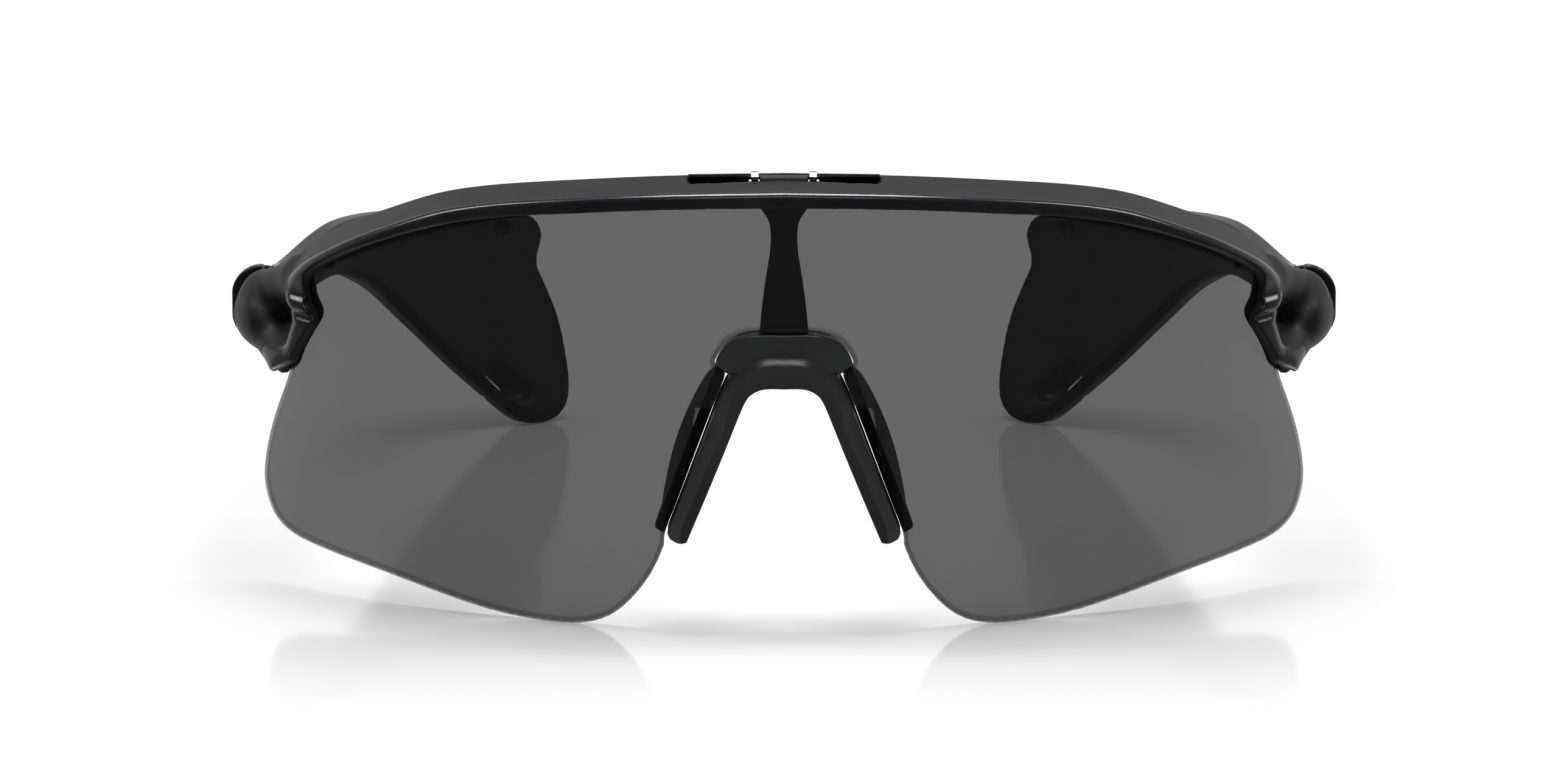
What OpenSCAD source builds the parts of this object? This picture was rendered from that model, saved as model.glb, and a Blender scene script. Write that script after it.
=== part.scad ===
// Wraparound sport sunglasses: one shield lens under a half frame, a swing-out
// nose bridge, and two folding temples that widen into leaning fins.
// Millimetres. +Z is up, the glasses stand on a surface at z = 0 and face -Y.
// The wearer's left is +X.

/* [Lens] */
// Radius of the lens as seen from above, outside face
lens_r = 90; // [86:1:94]
// Radius of the lens as seen from the side, outside face
lens_rv = 250; // [220:10:400]
// Thickness of the lens
lens_t = 2; // [1.6:0.1:2.2]
// Half width of the lens at its widest
lens_half_w = 68.4; // [68:0.1:68.8]

/* [Front frame] */
// How far the frame stands proud of the lens face
frame_proud = 1.9; // [1.6:0.1:2.2]
// Depth of the brow bar behind the lens face
brow_depth = 8.5; // [8:0.1:9]
// Rise of the brow's top and underside towards the back, in degrees
brow_rise = 6.5; // [6:0.1:7]
// Gap between the lens and its groove
lens_gap = 0.1; // [0.05:0.05:0.15]

/* [Temples] */
// Where the temple's front end meets the endpiece, from the front of the lens
butt_y = 43; // [42.8:0.1:43.2]
// How far the foot of the fin leans in towards the wearer
fin_lean = 9; // [7:0.5:10]
// Thickness of the soft grip on the fin's inner face
grip_t = 0.8; // [0.6:0.1:1]

/* [Strap holes] */
// Radius of the round cord hole at the top of each fin
cord_hole_r = 0.75; // [0.6:0.05:1]
// Length of the strap slot seen from the side, end to end
slot_len = 5.6; // [5:0.1:6.4]
// Width of the strap slot seen from the side
slot_w = 2.1; // [1.8:0.1:2.4]

/* [Hinges] */
// Radius of the hinge knuckles
knuckle_r = 2.3; // [2:0.1:2.4]
// Radius of the temple hinge screws
screw_r = 0.8; // [0.6:0.1:0.9]
// Radial running clearance of every hinge pin
pin_gap = 0.05; // [0.03:0.01:0.08]
// Radius of the nose bridge's pivot pin
pivot_r = 0.5; // [0.4:0.05:0.6]

/* [Hidden] */
fine = 96;                      // facets that preview a circle
mid_y = 76.1;                   // half of the depth, so that the origin is under the middle
lens_zc = 30;                   // height at which the lens stands furthest forward
eps = 0.01;

// ---- small helpers ----------------------------------------------------------
function unit(v) = v / norm(v);
// point on a Catmull-Rom curve through the list p, at t from 0 to len(p) - 1
function pick(p, i) = p[min(max(i, 0), len(p) - 1)];
function spline(p, t) =
    let (i = max(min(floor(t), len(p) - 2), 0), f = t - i,
         a = pick(p, i - 1), b = p[i], c = p[i + 1], d = pick(p, i + 2))
    0.5 * (2 * b + (c - a) * f + (2 * a - 5 * b + 4 * c - d) * f * f
           + (3 * b - a - 3 * c + d) * f * f * f);
// the same curve as a list of points, n steps to each span
function curve(p, n) = [for (k = [0 : n * (len(p) - 1)]) spline(p, k / n)];
// a closed outline, symmetric about x = 0, from its right half (top to bottom)
function mirrored(h) =
    concat(h, [for (i = [len(h) - 1 : -1 : 0]) if (h[i][0] > eps) [-h[i][0], h[i][1]]]);

// stand the part in its own frame
module stand() { translate([0, -mid_y, 0]) children(); }
// left is +X, right is its mirror image
module on_side(side) { mirror([side < 0 ? 1 : 0, 0, 0]) children(); }
// an (x, z) outline drawn at y = 0 and swept in Y between two depths
module sweep_y(points, y0, y1) {
    translate([0, y1, 0]) rotate([90, 0, 0]) linear_extrude(y1 - y0) polygon(points);
}
// the solid inside the lens face, moved out (+) or in (-) along the radius
module inside_face(offset_r) {
    translate([0, lens_r, 0]) rotate_extrude($fn = fine) intersection() {
        translate([lens_r - lens_rv, lens_zc]) circle(lens_rv + offset_r, $fn = 6 * fine);
        translate([10, -20]) square([lens_r, 100]);
    }
}
module shell(outer, inner) {
    difference() {
        inside_face(outer);
        inside_face(inner);
    }
}

// ---- lens -------------------------------------------------------------------
lens_top = [[0, 56.1], [20, 55.1], [36, 52.9], [52, 47.9], [60, 43.9], [63.4, 41]];
lens_side = [[64.5, 34], [65.4, 28.8], [66.9, 23.8], [68, 18.2], [lens_half_w, 13.9],
             [68.2, 11.8], [67.2, 9.2], [65.4, 7.5], [62.6, 6.4]];
lens_foot = [[62.6, 6.4], [53, 4.4], [44.6, 2.4], [36.4, 0.65], [30.4, 0.07], [26.4, 0.14],
             [22.8, 1.2], [19.8, 3.6], [17, 7.4], [15.3, 11.2]];
nose_cut = [[15.3, 11.2], [15.1, 13.2], [10.2, 26.3], [8.3, 31.4], [7.5, 33.5]];
// the cut widens above its sides, where the bridge's cover fills it
cover_cut = [[9.1, 34.9], [8.95, 35.5], [8.05, 37.2], [6.95, 38.3], [5.2, 39], [3.5, 39.2], [0, 39.2]];
lens_outline = mirrored(concat(
    curve(lens_top, 4), curve(lens_side, 3), curve(lens_foot, 3), curve(nose_cut, 3), cover_cut));

module lens() {
    stand() color([0.22, 0.22, 0.23, 0.6]) intersection() {
        shell(0, -lens_t);
        sweep_y(lens_outline, -5, 60);
    }
}
// the space that the lens takes in the frame, with its clearance; open downwards
module lens_room() {
    top = [for (p = curve(lens_top, 4)) p + [0, lens_gap]];
    side = [[63.6, 41], [64.7, 34], [65.7, 28.8], [67.4, 22]];
    intersection() {
        shell(lens_gap, -lens_t - lens_gap);
        sweep_y(mirrored(concat(top, side, [[0, 22]])), -5, 60);
    }
}

// ---- front frame ------------------------------------------------------------
// brow outline at the plane y = 0; the sweep rises towards the back
brow_top = [[0, 57.2], [10, 56.9], [20, 56.15], [30, 54.9], [36, 53.9], [40, 53], [44, 51.8],
            [48, 50.1], [52.2, 48], [55.5, 46.2], [58.8, 44.05], [62.7, 41], [64.6, 38.4], [64.95, 36.6]];
cheek = [[64.5, 35], [64, 33.6], [64.3, 32.4], [65.3, 29.6], [66.4, 26.9], [65.8, 26], [64.4, 26.3],
         [63.2, 27.7], [61.4, 31.1], [60.15, 33.4], [60, 34.7], [60.8, 36.1], [61.25, 37.6]];
brow_foot = [[61, 39.2], [59.3, 41], [55.6, 43.6], [52.3, 45.5], [48, 47.6], [44, 49.2],
             [36, 51.35], [28, 52.65], [20, 53.7], [10, 54.45], [0, 54.7]];
brow_outline = mirrored(curve(concat(brow_top, cheek, brow_foot), 3));
module brow_bar() {
    level = [for (p = brow_outline) [p[0], p[1] * cos(brow_rise)]];
    intersection() {
        shell(frame_proud, -brow_depth);
        rotate([brow_rise, 0, 0]) sweep_y(level, -5, 70);
    }
}
// a rounded upright block whose flat ends face front and back
module rounded_end(depth, half_w, half_h, r) {
    rotate([-90, 0, 0]) linear_extrude(depth) union() {
        square([2 * (half_w - r), 2 * half_h], center = true);
        square([2 * half_w, 2 * (half_h - r)], center = true);
        for (x = [-1, 1], z = [-1, 1])
            translate([x * (half_w - r), z * (half_h - r)]) circle(r, $fn = 32);
    }
}
// endpiece: a smooth bulb that ends in a flat rear face
module endpiece() {
    hull() {
        translate([62.3, 27.4, 42.2]) sphere(2, $fn = 32);
        translate([65.2, 29.8, 30.2]) sphere(1.6, $fn = 32);
        translate([69.2, 38.4, 34.8]) sphere(3.4, $fn = 32);
        translate([62, 26.6, 36]) sphere(1.6, $fn = 32);
        translate([68.9, butt_y - 1, 35]) rounded_end(1, 3.9, 4.9, 2.6);
    }
}
pocket_half_w = 12.6;
pocket_y = [5.6, 9.1];          // front and back walls of the pivot pocket
pocket_floor = 56.5;
pivot = [6.9, 57.3];            // y and z of the nose bridge's pivot
knuckle_half_w = 3.1;
knuckle_top_r = 1.2;
module pivot_pocket() {
    slant = 1.1;
    outline = [[-pocket_half_w, 58], [-pocket_half_w + slant, pocket_floor],
               [pocket_half_w - slant, pocket_floor], [pocket_half_w, 58],
               [pocket_half_w, 64], [-pocket_half_w, 64]];
    sweep_y(outline, pocket_y[0], pocket_y[1]);
    // the strut comes up through the bar behind the lens
    strut_room = knuckle_half_w + 0.4;
    room_front = 3.35;
    room_top = 57.15;           // a thin skin of the bar stays over it
    translate([-strut_room, room_front, room_top - 7])
        cube([2 * strut_room, pocket_y[1] - room_front, 7]);
}
module front_frame() {
    stand() color([0.05, 0.05, 0.055]) difference() {
        union() {
            brow_bar();
            for (s = [-1, 1]) on_side(s) endpiece();
        }
        lens_room();
        pivot_pocket();
        for (s = [-1, 1]) on_side(s) frame_anchor(hold_gap);
    }
}

// ---- pivot of the nose bridge -----------------------------------------------
// a cylinder along X about the pivot
module across(r, half_len) {
    translate([0, pivot[0], pivot[1]]) rotate([0, 90, 0])
        cylinder(r = r, h = 2 * half_len, center = true, $fn = fine);
}
ear_in = knuckle_half_w + 0.15;
ear_out = ear_in + 0.9;
ear_r = 1.55;
module pivot_bracket() {
    plate_x = 11.2;
    plate_t = 0.6;
    plate_front = pocket_y[0] + 0.1;
    spine_t = 0.5;
    spine_front = pocket_y[1] - spine_t - 0.05;
    spine_edge = [[0, pocket_floor], [plate_x, pocket_floor], [plate_x + 1, 57.9],
                  [plate_x + 1, 58.15], [0, 58.3]];
    stand() color([0.62, 0.63, 0.65]) difference() {
        union() {
            for (s = [-1, 1]) on_side(s) {
                translate([ear_in, plate_front, pocket_floor])
                    cube([plate_x - ear_in, spine_front + spine_t - plate_front, plate_t]);
                intersection() {
                    across(ear_r, ear_out);
                    translate([ear_in, plate_front, pocket_floor])
                        cube([ear_out - ear_in, spine_front - plate_front, 5]);
                }
            }
            // spine along the back of the pocket
            sweep_y(mirrored(spine_edge), spine_front, spine_front + spine_t);
        }
        across(pivot_r + pin_gap, 20);
    }
}
module pivot_pin() {
    stand() color([0.7, 0.7, 0.72]) across(pivot_r, ear_out + 0.3);
}

// ---- nose bridge ------------------------------------------------------------
strut_half = [[knuckle_half_w, 56.5], [knuckle_half_w, 54.9], [2.1, 53.3], [1.72, 51.7], [1.7, 49.9],
              [1.95, 47.8], [2.4, 45], [2.86, 41.4], [3.15, 38.3]];
strut_gap = 0.25;               // from the lens to what stands behind it
module center_strut() {
    foot_z = 38.45;
    web_front = 4.6;
    web_foot = 55.2;
    web_top = 56.95;
    flat_z = 58.25;             // the knuckle's flat top
    stand() color([0.12, 0.115, 0.12]) difference() {
        union() {
            intersection() {
                shell(-lens_t - strut_gap, -lens_t - strut_gap - 2);
                sweep_y(mirrored(curve(strut_half, 3)), 0, 20);
            }
            across(knuckle_top_r, knuckle_half_w);
            translate([-knuckle_half_w, web_front, web_foot])
                cube([2 * knuckle_half_w, pivot[0] - web_front, web_top - web_foot]);
        }
        across(pivot_r + pin_gap, 20);
        translate([-10, 0, flat_z]) cube([20, 20, 10]);
        // the foot ends just above the bridge's plate
        translate([-10, 0, foot_z - 10]) cube([20, 20, 10]);
    }
}
ridge_outer = [[0, 36.4], [2, 36.3], [4.4, 35.7], [6.4, 34], [7.9, 31.4], [9.9, 26.2], [14.9, 13]];
ridge_foot = [[14.9, 13], [14.5, 12.3], [13.5, 12], [12.4, 12.2]];
ridge_inner = [[12.4, 12.2], [7.6, 23.8], [5.1, 30], [4.4, 31.1], [3, 31.9], [0, 32]];
plate_top = [[0, 38.4], [4, 38.3], [6.4, 37.5], [8, 35.8], [8.9, 33.8]];
// the cover fills the top of the lens's nose cut
cover_rim = [[0, 38.9], [3.45, 38.9], [5.1, 38.7], [6.75, 38.05], [7.8, 37], [8.6, 35.5], [8.5, 35.3],
             [7, 35.1], [0, 35.4]];
cover_front = -0.4;
cover_back = 2.1;
ridge_front = -1.2;
bridge_back = 7.4;
module nose_bridge() {
    arch = concat(curve(plate_top, 3), [[6.6, 33.4], [0, 35]]);
    stand() color([0.16, 0.16, 0.165]) difference() {
        union() {
            sweep_y(mirrored(concat(curve(ridge_outer, 3), ridge_foot, curve(ridge_inner, 3))),
                    ridge_front, bridge_back);
            sweep_y(mirrored(cover_rim), cover_front, cover_back);
            difference() {
                sweep_y(mirrored(arch), 1, bridge_back);
                inside_face_cut();
            }
        }
        for (s = [-1, 1]) on_side(s) pad_pegs(pin_gap);
    }
}
// everything forward of the parts behind the lens
module inside_face_cut() {
    difference() {
        translate([-30, -10, 10]) cube([60, 30, 40]);
        inside_face(-lens_t - strut_gap);
    }
}
// two pegs that hold a nose pad on a leg of the bridge, square to the leg
peg_r = 0.7;
peg_len = 2.4;
peg_turn = 69.2;
module pad_pegs(gap) {
    for (p = [[8.6, 29.2], [12.3, 19.6]]) translate([p[0], 5.7, p[1]])
        rotate([0, peg_turn, 0])
            cylinder(r = peg_r + gap, h = peg_len + gap, center = true, $fn = fine);
}
pad_strip = [[7.4, 33.2], [8.9, 33.5], [16.6, 13.1], [15.3, 12.3], [10.4, 26]];
pad_front = 4.4;
// what the pad leaves free for the bridge: everything inwards of the ridge's outer side
bridge_side = [[0, 36.5], [6.5, 34.1], [8, 31.5], [10, 26.3], [15.05, 13], [15.05, 8], [0, 8]];
// corners of the soft wing that rests on the nose, and the radius round each
wing = [[8.6, 7.4, 32.2], [14.9, 7.4, 14.2], [16, 14.2, 14.6], [13.6, 16, 22], [9.2, 13, 31.4]];
wing_r = 0.95;
module nose_pad(side) {
    stand() on_side(side) color([0.03, 0.03, 0.03]) union() {
        difference() {
            union() {
                sweep_y(pad_strip, pad_front, bridge_back);
                hull() for (p = wing) translate(p) sphere(wing_r, $fn = 32);
            }
            sweep_y(bridge_side, -5, 30);
            inside_face_cut();
        }
        pad_pegs(0);
    }
}

// ---- hinges -----------------------------------------------------------------
hinge = [66.6, 46];             // x and y of the temple's hinge axis
hold_gap = 0.05;                // round an insert in its pocket
middle = [32.6, 37];            // lowest and highest z of the frame's knuckle
lower = [30.5, 32.4];           // of the temple's lower knuckle
upper = [37.2, 39.2];           // of the temple's upper knuckle
module block(from, to, grow = 0) {
    translate(from - [grow, grow, grow]) cube(to - from + 2 * [grow, grow, grow]);
}
module knuckle(span) {
    translate([hinge[0], hinge[1], span[0]]) cylinder(r = knuckle_r, h = span[1] - span[0], $fn = fine);
}
module hinge_bore(r) {
    translate([hinge[0], hinge[1], 25]) cylinder(r = r, h = 25, $fn = fine);
}
module frame_anchor(grow) { block([66, 37.6, 32.8], [68.4, butt_y + 0.5, 36.8], grow); }
module temple_anchor(grow) { block([66.7, 49.4, 31.2], [69, 54.4, 37.6], grow); }
module frame_hinge(side) {
    stand() on_side(side) color([0.45, 0.45, 0.47]) difference() {
        union() {
            frame_anchor(0);
            block([64.8, butt_y + hold_gap, middle[0]], [68.4, hinge[1], middle[1]]);
            knuckle(middle);
        }
        hinge_bore(screw_r + pin_gap);
    }
}
module temple_hinge(side) {
    stand() on_side(side) color([0.5, 0.5, 0.52]) difference() {
        union() {
            temple_anchor(0);
            for (span = [lower, upper]) {
                knuckle(span);
                block([64.8, hinge[1], span[0]], [68.4, 49.5, span[1]]);
            }
            block([66.7, 49, lower[0]], [68.4, 49.5, upper[1]]);
        }
        hinge_bore(screw_r + pin_gap);
    }
}
module hinge_screw(side) {
    head_r = 1.5;
    head_h = 0.8;
    stand() on_side(side) color([0.7, 0.7, 0.72]) translate([hinge[0], hinge[1], 0]) difference() {
        union() {
            translate([0, 0, lower[0]]) cylinder(r = screw_r, h = upper[1] - lower[0], $fn = fine);
            translate([0, 0, upper[1] + 0.02]) cylinder(r = head_r, h = head_h, $fn = fine);
            translate([0, 0, upper[1] - eps]) cylinder(r = screw_r, h = 0.05, $fn = fine);
        }
        translate([0, 0, upper[1] + head_h - 0.4]) cylinder(r = 0.6, h = 1, $fn = 6);
    }
}

// ---- temples ----------------------------------------------------------------
// middle of the temple's thickness seen from above, front to back, at the height lean_z
plan = [[69.4, 42], [69.5, 52], [69.7, 64], [69.3, 78], [68, 92], [65.2, 106], [60.6, 120],
        [54.2, 133], [46.2, 144], [37.5, 152.5], [28, 159]];
thick = [8, 7, 5, 4, 3.6, 3.2, 3, 2.8, 2.6, 2.4, 2.4];
lean_z = 28;
lean_from = 5;                  // place along plan where the lean starts, and where it is whole
lean_to = 9;
function tangent(t) = unit(spline(plan, t + eps) - spline(plan, t - eps));
function outward(t) = [tangent(t)[1], -tangent(t)[0]];
function smooth(f) = f <= 0 ? 0 : f >= 1 ? 1 : f * f * (3 - 2 * f);
function lean(t) = fin_lean / lean_z * smooth((t - lean_from) / (lean_to - lean_from));
// a point of the temple's skin: t along plan, k from -0.5 inside to 0.5 outside
function skin(t, k, z, off = 0) =
    let (p = spline(plan, t) + outward(t) * (spline(thick, t) * k + off - lean(t) * (lean_z - z)))
    [p[0], p[1], z];
// a curved wall along the temple, between two offsets from its skins
module wall(k0, off0, k1, off1, t0, t1) {
    z0 = -4;
    z1 = 46;
    step = 0.1;
    n = round((t1 - t0) / step);
    ring = [for (i = [0 : n]) let (t = t0 + (t1 - t0) * i / n)
            [skin(t, k0, z0, off0), skin(t, k1, z0, off1), skin(t, k1, z1, off1), skin(t, k0, z1, off0)]];
    points = [for (r = ring) each r];
    sides = [for (i = [0 : n - 1], j = [0 : 3])
             let (a = 4 * i + j, b = 4 * i + (j + 1) % 4)
             // both skins split along the same diagonal, so that walls can lie face to face
             each j == 3 ? [[a, b, a + 4], [b, b + 4, a + 4]] : [[a, b + 4, a + 4], [a, b, b + 4]]];
    polyhedron(points, concat(sides, [[2, 1, 0], [3, 2, 0]],
               [[4 * n, 4 * n + 1, 4 * n + 2], [4 * n, 4 * n + 2, 4 * n + 3]]), convexity = 6);
}
// side view of the temple, in the plane that stands along the fin: distance back, height
fin_o = [52, 132];
fin_az = 35;
module from_side(points) {
    translate([fin_o[0], fin_o[1], 0]) rotate([0, 0, fin_az]) translate([-60, 0, 0])
        rotate([90, 0, 90]) linear_extrude(120) polygon(points);
}
temple_top = [[-88, 40.6], [-82, 40.5], [-75.6, 38.9], [-66, 36.2], [-54, 34.1], [-42, 33.7],
              [-30.8, 34.6], [-23.9, 35], [-17.9, 34.8], [-11.6, 34.3], [0, 33], [12, 31.4], [20, 30.3]];
fin_back = [[23.6, 29.6], [25.4, 28.2], [25.3, 26], [24, 24], [23.3, 22.4], [23.5, 20.8],
            [24.3, 16.8], [24.5, 13.4], [24.2, 9.6], [23.4, 5], [21.8, 2], [19.6, 0.5]];
fin_foot = [[17.6, 0.04], [15.4, 0.12], [13.4, 0.9], [9.8, 4.3], [5, 8.9], [-0.4, 14], [-7.1, 19.5],
            [-13.1, 23.5], [-20.6, 26.6], [-25.4, 27.8], [-30.8, 28.2], [-42, 28.3], [-54, 28.7],
            [-66, 29.2], [-76, 29.7], [-88, 29.9]];
side_view = concat(curve(concat(temple_top, fin_back, fin_foot), 2));
// the strap slot and the cord hole both go through the fin along X
cord_hole_at = [146.3, 28];     // y and z
slot_at = [138.9, 6.6];
slot_tilt = 65;                 // of the slot's long axis below level, towards the back
module slot_cut(grow) {
    half = (slot_len - slot_w) / 2;
    translate([20, slot_at[0], slot_at[1]]) rotate([-slot_tilt, 0, 0]) rotate([0, 90, 0]) {
        for (y = [-half, half]) translate([0, y, 0]) cylinder(r = slot_w / 2 + grow, h = 40, $fn = fine);
        translate([-slot_w / 2 - grow, -half, 0]) cube([slot_w + 2 * grow, 2 * half, 40]);
    }
}
module cord_hole_cut(grow) {
    translate([20, cord_hole_at[0], cord_hole_at[1]]) rotate([0, 90, 0])
        cylinder(r = cord_hole_r + grow, h = 40, $fn = fine);
}
disc_r = 3.2;
disc_at = [50, 35.6];           // y and z of the plain disc on the outside of the hinge
module disc_shape(r, depth) {
    translate([73.3, disc_at[0], disc_at[1]]) rotate([0, 90, 0]) translate([0, 0, -depth])
        cylinder(r = r, h = depth + 0.25, $fn = fine);
}
module temple(side) {
    stand() on_side(side) color([0.06, 0.06, 0.065]) difference() {
        intersection() {
            wall(-0.5, 0, 0.5, 0, 0, 9.8);
            from_side(side_view);
        }
        block([60, 30, 20], [80, butt_y + 0.3, 50]);
        block([60, 30, 20], [69.2, 49.55, 50]);
        temple_anchor(hold_gap);
        slot_cut(0);
        cord_hole_cut(0);
        disc_shape(disc_r + hold_gap, 0.6 + hold_gap);
    }
}
grip_view = [[-30, 33.4], [-23.9, 34], [-11.6, 33.4], [0, 32.1], [12, 30.5], [20, 29.4],
             [23.4, 28.8], [24.7, 27.6], [24.5, 26], [23.2, 24], [22.5, 22.4], [22.7, 20.6],
             [23.5, 16.6], [23.7, 13.2], [23.4, 9.6], [22.6, 5.4], [21.2, 2.8], [19.2, 1.4],
             [17, 1.1], [14.4, 1.9], [10.6, 5.1], [5.6, 9.8], [0.2, 14.9], [-6.6, 20.5],
             [-12.6, 24.4], [-20.2, 27.5], [-25.4, 28.7], [-29.4, 29.2], [-31, 31.2]];
module temple_grip(side) {
    stand() on_side(side) color([0.02, 0.02, 0.02]) difference() {
        intersection() {
            wall(-0.5, -grip_t, -0.5, 0, 5, 9.8);
            from_side(curve(concat(grip_view, [grip_view[0]]), 2));
        }
        slot_cut(0.5);
        cord_hole_cut(0.4);
    }
}
module temple_disc(side) {
    stand() on_side(side) color([0.3, 0.3, 0.31]) disc_shape(disc_r, 0.6);
}

lens();
front_frame();
pivot_bracket();
pivot_pin();
center_strut();
nose_bridge();
nose_pad(1);  // nose_pad_left
nose_pad(-1);  // nose_pad_right
frame_hinge(1);  // frame_hinge_left
frame_hinge(-1);  // frame_hinge_right
hinge_screw(1);  // hinge_screw_left
hinge_screw(-1);  // hinge_screw_right
temple_hinge(1);  // temple_hinge_left
temple_hinge(-1);  // temple_hinge_right
temple(1);  // temple_left
temple(-1);  // temple_right
temple_grip(1);  // temple_grip_left
temple_grip(-1);  // temple_grip_right
temple_disc(1);  // temple_disc_left
temple_disc(-1);  // temple_disc_right
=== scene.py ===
import math

import bpy
import numpy as np
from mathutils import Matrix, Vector


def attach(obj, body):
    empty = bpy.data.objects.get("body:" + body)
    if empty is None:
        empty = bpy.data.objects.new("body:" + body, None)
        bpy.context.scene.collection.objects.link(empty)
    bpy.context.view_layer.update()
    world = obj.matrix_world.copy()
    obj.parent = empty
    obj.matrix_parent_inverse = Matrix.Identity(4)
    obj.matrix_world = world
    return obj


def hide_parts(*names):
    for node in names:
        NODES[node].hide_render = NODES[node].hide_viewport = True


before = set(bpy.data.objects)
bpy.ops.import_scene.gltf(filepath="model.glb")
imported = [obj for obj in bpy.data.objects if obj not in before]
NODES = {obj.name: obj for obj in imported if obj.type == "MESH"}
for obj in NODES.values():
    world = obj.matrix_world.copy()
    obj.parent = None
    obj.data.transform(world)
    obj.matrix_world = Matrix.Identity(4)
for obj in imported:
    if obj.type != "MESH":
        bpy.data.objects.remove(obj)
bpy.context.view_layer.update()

MID_Y = 76.1                    # the design's y = 0 lies this far in front of the frame's origin
MM = 0.001
GAUGE = "edge_mm"               # the attribute in which a piece keeps its extra measure, in mm


# ---- curves and outlines ----------------------------------------------------
def curve(points, steps=10, closed=False):
    """Points along a smooth cubic curve through the given ones, with steps to each span."""
    p = np.array(points, float)
    if closed:
        p = np.vstack([p[-4:], p, p[:5]])
    t = np.concatenate([[0], np.cumsum(np.sqrt(np.linalg.norm(np.diff(p, axis=0), axis=1)))])
    h = np.diff(t)
    n = len(p)
    a = np.eye(n)
    b = np.zeros_like(p)
    for i in range(1, n - 1):
        a[i, i - 1:i + 2] = h[i - 1], 2 * (h[i - 1] + h[i]), h[i]
        b[i] = 6 * ((p[i + 1] - p[i]) / h[i] - (p[i] - p[i - 1]) / h[i - 1])
    m = np.linalg.solve(a, b)
    out = []
    for i in range(n - 1) if not closed else range(4, n - 5):
        s = np.linspace(0, 1, steps, endpoint=False)[:, None] * h[i]
        r = h[i] - s
        out.append((m[i] * r ** 3 + m[i + 1] * s ** 3) / (6 * h[i])
                   + (p[i] / h[i] - m[i] * h[i] / 6) * r + (p[i + 1] / h[i] - m[i + 1] * h[i] / 6) * s)
    if not closed:
        out.append(p[-1:])
    return np.vstack(out)


def mirrored(half):
    """A closed outline from its right half, which runs from x = 0 round to x = 0."""
    half = np.asarray(half, float)
    left = half[::-1] * [-1, 1]
    return np.vstack([half, left[left[:, 0] < -0.01]])


def grid_read(grid, lo, step, u, v):
    """Cubic interpolation in a 2D table, held at its edge values outside it."""
    fu = np.clip((u - lo[0]) / step, 1, grid.shape[0] - 3.001)
    fv = np.clip((v - lo[1]) / step, 1, grid.shape[1] - 3.001)
    iu, iv = fu.astype(int), fv.astype(int)
    fu, fv = fu - iu, fv - iv

    def weights(f):
        return (-0.5 * f + f * f - 0.5 * f ** 3, 1 - 2.5 * f * f + 1.5 * f ** 3,
                0.5 * f + 2 * f * f - 1.5 * f ** 3, -0.5 * f * f + 0.5 * f ** 3)
    wu, wv = weights(fu), weights(fv)
    total = 0
    for i in range(4):
        row = 0
        for j in range(4):
            row = row + wv[j] * grid[iu + i - 1, iv + j - 1]
        total = total + wu[i] * row
    return total


def nearest(poly, u, v, closed):
    """Distance to a polyline, the place along it in segments, and which side the point is on."""
    a = poly if closed else poly[:-1]
    b = np.roll(poly, -1, axis=0) if closed else poly[1:]
    best = np.full(u.shape, 1e9)
    place = np.zeros(u.shape)
    side = np.zeros(u.shape)
    inside = np.zeros(u.shape, bool)
    for i in range(len(a)):
        du, dv = b[i] - a[i]
        ru, rv = u - a[i][0], v - a[i][1]
        t = np.clip((ru * du + rv * dv) / (du * du + dv * dv), 0, 1)
        d = (ru - t * du) ** 2 + (rv - t * dv) ** 2
        closer = d < best
        best = np.where(closer, d, best)
        place = np.where(closer, i + t, place)
        side = np.where(closer, ru * dv - rv * du, side)
        if closed and dv != 0:
            inside ^= ((a[i][1] > v) != (b[i][1] > v)) & (ru < rv * du / dv)
    return np.sqrt(best), place, side, inside


class Outline:
    """Signed distance to a closed outline, negative inside it."""
    def __init__(self, points, step=0.25, margin=9.0, soften=1):
        points = np.asarray(points, float)
        self.step = step
        self.lo = points.min(0) - margin
        size = points.max(0) + margin - self.lo
        u, v = np.meshgrid(np.arange(0, size[0], step) + self.lo[0],
                           np.arange(0, size[1], step) + self.lo[1], indexing="ij")
        d, _, _, inside = nearest(points, u, v, True)
        g = np.where(inside, -d, d)
        for _ in range(soften):
            beside = g[2:, 1:-1] + g[:-2, 1:-1] + g[1:-1, 2:] + g[1:-1, :-2]
            across = g[2:, 2:] + g[:-2, 2:] + g[2:, :-2] + g[:-2, :-2]
            g[1:-1, 1:-1] = (4 * g[1:-1, 1:-1] + 2 * beside + across) / 16
        self.grid = g

    def __call__(self, u, v):
        return grid_read(self.grid, self.lo, self.step, u, v)


# ---- solids as signed distances, negative inside ----------------------------
def meet(a, b, r=0.0):
    """What two solids share, with the edge between them rounded to r."""
    if np.all(r <= 0):
        return np.maximum(a, b)
    return np.minimum(-r, np.maximum(a, b)) + np.hypot(np.maximum(r + a, 0), np.maximum(r + b, 0))


def join(a, b, r=0.0):
    """Two solids together, with the corner between them filled to r."""
    return -meet(-a, -b, r)


def cut(a, b, r=0.0):
    return meet(a, -b, r)


def ramp(f):
    f = np.clip(f, 0, 1)
    return f * f * (3 - 2 * f)


def block(x, y, z, lo, hi):
    q = [np.abs(c - (l + h) / 2) - (h - l) / 2 for c, l, h in zip((x, y, z), lo, hi)]
    outside = np.sqrt(sum(np.maximum(c, 0) ** 2 for c in q))
    return outside + np.minimum(np.maximum(np.maximum(q[0], q[1]), q[2]), 0)


def ellipsoid(x, y, z, centre, radii):
    q = [(c - o) for c, o in zip((x, y, z), centre)]
    k0 = np.sqrt(sum((c / r) ** 2 for c, r in zip(q, radii)))
    k1 = np.sqrt(sum((c / r ** 2) ** 2 for c, r in zip(q, radii)))
    return k0 * (k0 - 1) / np.maximum(k1, 1e-6)


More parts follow.
